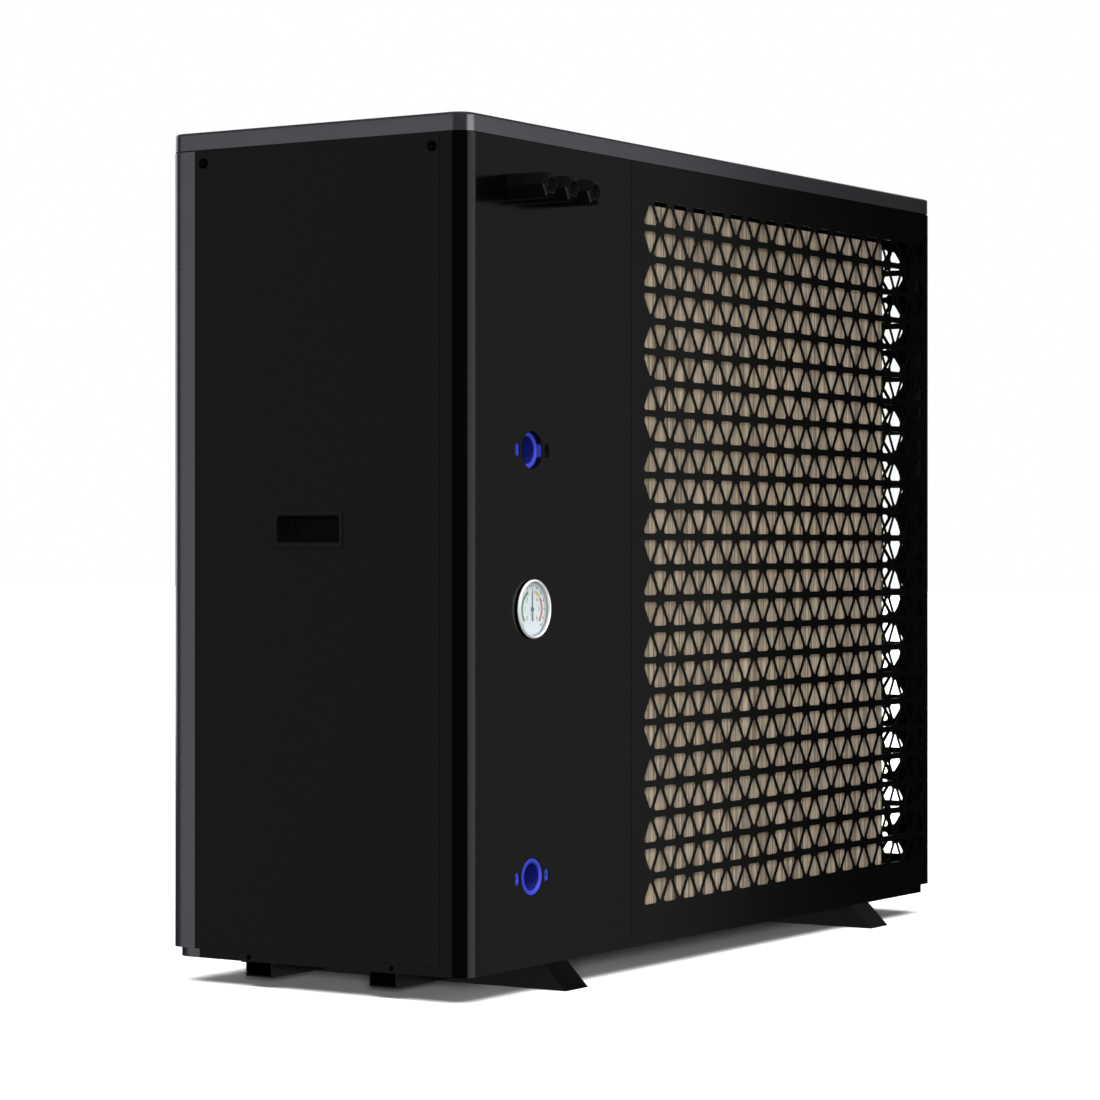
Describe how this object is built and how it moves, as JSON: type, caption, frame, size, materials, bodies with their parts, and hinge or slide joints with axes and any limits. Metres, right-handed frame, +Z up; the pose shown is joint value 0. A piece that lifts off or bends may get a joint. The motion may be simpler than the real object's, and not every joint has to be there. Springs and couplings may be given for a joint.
{
  "type": "pool heat pump unit",
  "caption": "Free-standing pool heat pump: black and anthracite sheet cabinet on feet, perforated coil guard, fan, water unions, gauge and cable glands.",
  "frame": {"origin": "on the floor below the condensate drain, under the middle of the cabinet's length and depth", "axes": "+Z up, +X towards the service end with the handle, +Y towards the back with the coil and water connections; the fan blows out of the front, towards -Y"},
  "size_m": [1.123, 0.4604, 0.951],
  "materials": {
    "anthracite_paint": "satin powder coat, fine texture",
    "black_paint": "satin powder coat",
    "black_screws": "black passivated steel",
    "galvanised_steel": "zinc spangle",
    "black_plastic": "fine moulded grain",
    "gland_nylon": "satin moulded nylon",
    "blue_plastic": "glossy moulded",
    "copper": "drawn copper, slightly dulled",
    "brass_valves": "machined brass",
    "fin_coating": "gold hydrophilic coating",
    "chrome_bezel": "polished",
    "dial_print": "printed dial",
    "needle_black": "matt black",
    "clear_glass": "clear",
    "display_black": "glossy",
    "compressor_paint": "black gloss paint",
    "mount_rubber": "matt",
    "zinc_fasteners": "zinc plated",
    "motor_alloy": "cast alloy",
    "grey_shell": "extruded plastic shell",
    "titanium": "drawn titanium",
    "board_green": "solder mask",
    "capacitor_sleeve": "shrink sleeve",
    "reactor_iron": "varnished laminations",
    "terminal_plastic": "moulded",
    "sink_alloy": "extruded"
  },
  "bodies": {
    "cabinet": {"front_panel": "anthracite_paint", "front_sill": "anthracite_paint", "service_back_panel": "black_paint", "grille_panel": "black_paint", "rear_corner_post": "black_paint", "fan_end_panel": "black_paint", "base_skirt": "black_paint", "base_pan": "black_paint", "foot_service": "black_paint", "foot_fan": "black_paint", "rail_front": "black_paint", "rail_back": "black_paint", "top_frame": "black_paint", "base_screws": "black_screws", "partition": "galvanised_steel", "electric_box": "galvanised_steel", "electric_box_cover": "galvanised_steel", "coil_end_plates": "galvanised_steel", "motor_bracket": "galvanised_steel", "exchanger_stand": "galvanised_steel", "drain_spigot": "black_plastic", "fan_guard": "black_plastic", "fan_orifice": "black_plastic", "display_bezel": "black_plastic", "gland_bodies": "gland_nylon", "gland_locknuts": "gland_nylon", "outlet_union": "blue_plastic", "inlet_union": "blue_plastic", "coil_return_bends": "copper", "refrigerant_pipes": "copper", "liquid_pipes": "copper", "gauge_capillary": "copper", "four_way_valve": "brass_valves", "expansion_valve": "brass_valves", "coil_fins": "fin_coating", "gauge_case": "chrome_bezel", "gauge_dial": "dial_print", "gauge_glass": "clear_glass", "display_glass": "display_black", "compressor": "compressor_paint", "accumulator": "compressor_paint", "compressor_mounts": "mount_rubber", "compressor_bolts": "zinc_fasteners", "fan_motor": "motor_alloy", "water_exchanger": "grey_shell", "titanium_tubes": "titanium", "inverter_board": "board_green", "board_capacitors": "capacitor_sleeve", "reactor": "reactor_iron", "terminal_block": "terminal_plastic", "heat_sink": "sink_alloy"},
    "fan": {"fan_rotor": "black_plastic", "fan_nut": "zinc_fasteners"},
    "needle": {"gauge_needle": "needle_black"},
    "service_panel": {"side_panel": "black_paint", "handle_cup": "black_plastic", "side_panel_screws": "black_screws"},
    "cover": {"top_cover": "anthracite_paint"},
    "nut_1": {"gland_nut_1": "gland_nylon"},
    "nut_2": {"gland_nut_2": "gland_nylon"},
    "nut_3": {"gland_nut_3": "gland_nylon"}
  },
  "joints": [
    {"name": "fan_spin", "type": "hinge", "parent": "cabinet", "child": "fan", "pos_m": [-0.1715, -0.136, 0.481], "axis": [0, 1, 0], "continuous": true},
    {"name": "needle_turn", "type": "hinge", "parent": "cabinet", "child": "needle", "pos_m": [0.429, 0.2027, 0.419], "axis": [0, 1, 0], "range_deg": [-135, 135]},
    {"name": "service_panel_off", "type": "slide", "parent": "cabinet", "child": "service_panel", "axis": [1, 0, 0], "range_m": [0, 0.25]},
    {"name": "cover_off", "type": "slide", "parent": "cabinet", "child": "cover", "axis": [0, 0, 1], "range_m": [0, 0.3]},
    {"name": "nut_1_turn", "type": "hinge", "parent": "cabinet", "child": "nut_1", "pos_m": [0.378, 0.235, 0.877], "axis": [0, 1, 0], "range_deg": [0, 750]},
    {"name": "nut_2_turn", "type": "hinge", "parent": "cabinet", "child": "nut_2", "pos_m": [0.423, 0.235, 0.877], "axis": [0, 1, 0], "range_deg": [0, 750]},
    {"name": "nut_3_turn", "type": "hinge", "parent": "cabinet", "child": "nut_3", "pos_m": [0.468, 0.235, 0.877], "axis": [0, 1, 0], "range_deg": [0, 750]}
  ]
}
